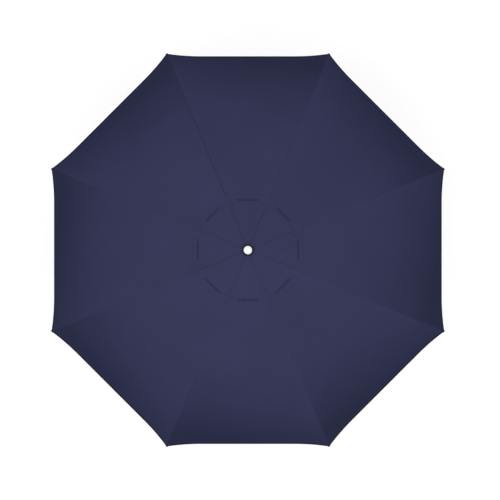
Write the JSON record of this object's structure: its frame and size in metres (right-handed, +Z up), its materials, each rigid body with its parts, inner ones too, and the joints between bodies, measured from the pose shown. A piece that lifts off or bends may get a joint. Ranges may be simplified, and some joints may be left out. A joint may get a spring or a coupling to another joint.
{
  "type": "patio umbrella with base",
  "caption": "Octagonal dark blue market umbrella with a vented top, crank lift, push-button tilt and folding ribs, standing in a round weighted steel base with a clamp screw.",
  "frame": {"origin": "On the floor at the pole's axis, at the bottom centre of the whole object.", "axes": "+Z up along the pole; -Y towards the crank, which is the front; +X towards the base's clamp knob. The ribs lie half way between the X and Y axes and their diagonals, at 22.5 degrees and each 45 degrees on."},
  "size_m": [2.4668, 2.4668, 2.5246],
  "materials": {
    "canopy_cloth": "matte",
    "pole_paint": "satin",
    "rib_paint": "satin",
    "base_paint": "satin",
    "white_plastic": "satin",
    "finial_plastic": "gloss",
    "dark_plastic": "matte",
    "steel": "satin",
    "pad_rubber": "matte",
    "lift_cord": "matte"
  },
  "bodies": {
    "base": {"base_plate": "base_paint", "base_pad": "pad_rubber", "base_stem": "base_paint", "base_bolt_1": "steel", "base_bolt_2": "steel", "base_bolt_3": "steel", "base_bolt_4": "steel", "stem_bush": "dark_plastic"},
    "clamp_stud": {"clamp_stud": "steel"},
    "clamp_knob": {"clamp_knob": "dark_plastic"},
    "pole": {"lower_pole": "pole_paint", "mid_pole": "pole_paint", "crank_housing_front": "white_plastic", "crank_housing_back": "white_plastic", "housing_screw_1": "steel", "housing_screw_2": "steel", "tilt_knuckle_lower": "white_plastic", "tilt_pin": "steel", "lift_cord_lower": "lift_cord"},
    "snap_button": {"snap_button": "steel"},
    "crank": {"crank_shaft": "steel", "crank_arm": "pole_paint"},
    "crank_knob": {"crank_knob": "dark_plastic"},
    "head": {"tilt_knuckle_upper": "white_plastic", "top_pole": "pole_paint", "hub": "white_plastic", "hub_ring_wire": "steel", "hub_cover": "white_plastic", "vent_collar": "dark_plastic", "vent_cap": "canopy_cloth", "finial": "finial_plastic", "pulley_pin": "steel", "lift_cord_upper": "lift_cord"},
    "tilt_button": {"tilt_button": "dark_plastic"},
    "pulley": {"pulley": "white_plastic"},
    "runner": {"runner": "white_plastic"},
    "rib_1": {"rib_1": "rib_paint", "canopy_panel_1": "canopy_cloth"},
    "strut_1": {"strut_1": "rib_paint"},
    "rib_2": {"rib_2": "rib_paint", "canopy_panel_2": "canopy_cloth"},
    "strut_2": {"strut_2": "rib_paint"},
    "rib_3": {"rib_3": "rib_paint", "canopy_panel_3": "canopy_cloth"},
    "strut_3": {"strut_3": "rib_paint"},
    "rib_4": {"rib_4": "rib_paint", "canopy_panel_4": "canopy_cloth"},
    "strut_4": {"strut_4": "rib_paint"},
    "rib_5": {"rib_5": "rib_paint", "canopy_panel_5": "canopy_cloth"},
    "strut_5": {"strut_5": "rib_paint"},
    "rib_6": {"rib_6": "rib_paint", "canopy_panel_6": "canopy_cloth"},
    "strut_6": {"strut_6": "rib_paint"},
    "rib_7": {"rib_7": "rib_paint", "canopy_panel_7": "canopy_cloth"},
    "strut_7": {"strut_7": "rib_paint"},
    "rib_8": {"rib_8": "rib_paint", "canopy_panel_8": "canopy_cloth"},
    "strut_8": {"strut_8": "rib_paint"}
  },
  "joints": [
    {"name": "pole_turn", "type": "hinge", "parent": "base", "child": "pole", "pos_m": [0, 0, 0.2], "axis": [0, 0, 1], "continuous": true},
    {"name": "clamp_travel", "type": "slide", "parent": "base", "child": "clamp_stud", "axis": [1, 0, 0], "range_m": [0, 0.0045]},
    {"name": "clamp_turn", "type": "hinge", "parent": "clamp_stud", "child": "clamp_knob", "pos_m": [0.057, 0, 0.3], "axis": [1, 0, 0], "range_deg": [0, 1080]},
    {"name": "snap_press", "type": "slide", "parent": "pole", "child": "snap_button", "axis": [-1, 0, 0], "range_m": [0, 0.003], "stiffness_N_per_m": 400},
    {"name": "crank_turn", "type": "hinge", "parent": "pole", "child": "crank", "pos_m": [0, 0, 0.93], "axis": [0, 1, 0], "range_deg": [0, 3960]},
    {"name": "crank_knob_spin", "type": "hinge", "parent": "crank", "child": "crank_knob", "pos_m": [0, -0.085, 0.835], "axis": [0, -1, 0], "continuous": true},
    {"name": "tilt", "type": "hinge", "parent": "pole", "child": "head", "pos_m": [0, 0, 1.8], "axis": [-1, 0, 0], "range_deg": [-30, 0], "deforming": ["lift_cord_lower"]},
    {"name": "tilt_press", "type": "slide", "parent": "head", "child": "tilt_button", "axis": [0, 1, 0], "range_m": [0, 0.002], "stiffness_N_per_m": 400},
    {"name": "pulley_spin", "type": "hinge", "parent": "head", "child": "pulley", "pos_m": [0.0103, 0, 2.36], "axis": [0, 1, 0], "range_deg": [0, 2707.58]},
    {"name": "runner_slide", "type": "slide", "parent": "head", "child": "runner", "axis": [0, 0, -1], "range_m": [0, 0.77944], "deforming": ["vent_cap", "lift_cord_upper"]},
    {"name": "rib_1_fold", "type": "hinge", "parent": "head", "child": "rib_1", "pos_m": [0.04158, 0.01722, 2.42], "axis": [-0.3827, 0.9239, 0], "range_deg": [0, 66.01], "deforming": ["canopy_panel_1"]},
    {"name": "strut_1_fold", "type": "hinge", "parent": "rib_1", "child": "strut_1", "pos_m": [0.57358, 0.23758, 2.19019], "axis": [-0.3827, 0.9239, 0], "range_deg": [-132.02, 0]},
    {"name": "rib_2_fold", "type": "hinge", "parent": "head", "child": "rib_2", "pos_m": [0.01722, 0.04158, 2.42], "axis": [-0.9239, 0.3827, 0], "range_deg": [0, 66.01], "deforming": ["canopy_panel_2"]},
    {"name": "strut_2_fold", "type": "hinge", "parent": "rib_2", "child": "strut_2", "pos_m": [0.23758, 0.57358, 2.19019], "axis": [-0.9239, 0.3827, 0], "range_deg": [-132.02, 0]},
    {"name": "rib_3_fold", "type": "hinge", "parent": "head", "child": "rib_3", "pos_m": [-0.01722, 0.04158, 2.42], "axis": [-0.9239, -0.3827, 0], "range_deg": [0, 66.01], "deforming": ["canopy_panel_3"]},
    {"name": "strut_3_fold", "type": "hinge", "parent": "rib_3", "child": "strut_3", "pos_m": [-0.23758, 0.57358, 2.19019], "axis": [-0.9239, -0.3827, 0], "range_deg": [-132.02, 0]},
    {"name": "rib_4_fold", "type": "hinge", "parent": "head", "child": "rib_4", "pos_m": [-0.04158, 0.01722, 2.42], "axis": [-0.3827, -0.9239, 0], "range_deg": [0, 66.01], "deforming": ["canopy_panel_4"]},
    {"name": "strut_4_fold", "type": "hinge", "parent": "rib_4", "child": "strut_4", "pos_m": [-0.57358, 0.23758, 2.19019], "axis": [-0.3827, -0.9239, 0], "range_deg": [-132.02, 0]},
    {"name": "rib_5_fold", "type": "hinge", "parent": "head", "child": "rib_5", "pos_m": [-0.04158, -0.01722, 2.42], "axis": [0.3827, -0.9239, 0], "range_deg": [0, 66.01], "deforming": ["canopy_panel_5"]},
    {"name": "strut_5_fold", "type": "hinge", "parent": "rib_5", "child": "strut_5", "pos_m": [-0.57358, -0.23758, 2.19019], "axis": [0.3827, -0.9239, 0], "range_deg": [-132.02, 0]},
    {"name": "rib_6_fold", "type": "hinge", "parent": "head", "child": "rib_6", "pos_m": [-0.01722, -0.04158, 2.42], "axis": [0.9239, -0.3827, 0], "range_deg": [0, 66.01], "deforming": ["canopy_panel_6"]},
    {"name": "strut_6_fold", "type": "hinge", "parent": "rib_6", "child": "strut_6", "pos_m": [-0.23758, -0.57358, 2.19019], "axis": [0.9239, -0.3827, 0], "range_deg": [-132.02, 0]},
    {"name": "rib_7_fold", "type": "hinge", "parent": "head", "child": "rib_7", "pos_m": [0.01722, -0.04158, 2.42], "axis": [0.9239, 0.3827, 0], "range_deg": [0, 66.01], "deforming": ["canopy_panel_7"]},
    {"name": "strut_7_fold", "type": "hinge", "parent": "rib_7", "child": "strut_7", "pos_m": [0.23758, -0.57358, 2.19019], "axis": [0.9239, 0.3827, 0], "range_deg": [-132.02, 0]},
    {"name": "rib_8_fold", "type": "hinge", "parent": "head", "child": "rib_8", "pos_m": [0.04158, -0.01722, 2.42], "axis": [0.3827, 0.9239, 0], "range_deg": [0, 66.01], "deforming": ["canopy_panel_8"]},
    {"name": "strut_8_fold", "type": "hinge", "parent": "rib_8", "child": "strut_8", "pos_m": [0.57358, -0.23758, 2.19019], "axis": [0.3827, 0.9239, 0], "range_deg": [-132.02, 0]}
  ],
  "couplings": [
    {"joint": "clamp_travel", "follows": "clamp_turn", "m_per_rad": 0.00023873},
    {"joint": "crank_turn", "follows": "runner_slide", "rad_per_m": 88.673},
    {"joint": "pulley_spin", "follows": "runner_slide", "rad_per_m": 60.606},
    {"joint": "rib_1_fold", "follows": "runner_slide", "rad_per_m": 1.4779},
    {"joint": "strut_1_fold", "follows": "runner_slide", "rad_per_m": -2.9558},
    {"joint": "rib_2_fold", "follows": "runner_slide", "rad_per_m": 1.4779},
    {"joint": "strut_2_fold", "follows": "runner_slide", "rad_per_m": -2.9558},
    {"joint": "rib_3_fold", "follows": "runner_slide", "rad_per_m": 1.4779},
    {"joint": "strut_3_fold", "follows": "runner_slide", "rad_per_m": -2.9558},
    {"joint": "rib_4_fold", "follows": "runner_slide", "rad_per_m": 1.4779},
    {"joint": "strut_4_fold", "follows": "runner_slide", "rad_per_m": -2.9558},
    {"joint": "rib_5_fold", "follows": "runner_slide", "rad_per_m": 1.4779},
    {"joint": "strut_5_fold", "follows": "runner_slide", "rad_per_m": -2.9558},
    {"joint": "rib_6_fold", "follows": "runner_slide", "rad_per_m": 1.4779},
    {"joint": "strut_6_fold", "follows": "runner_slide", "rad_per_m": -2.9558},
    {"joint": "rib_7_fold", "follows": "runner_slide", "rad_per_m": 1.4779},
    {"joint": "strut_7_fold", "follows": "runner_slide", "rad_per_m": -2.9558},
    {"joint": "rib_8_fold", "follows": "runner_slide", "rad_per_m": 1.4779},
    {"joint": "strut_8_fold", "follows": "runner_slide", "rad_per_m": -2.9558}
  ]
}
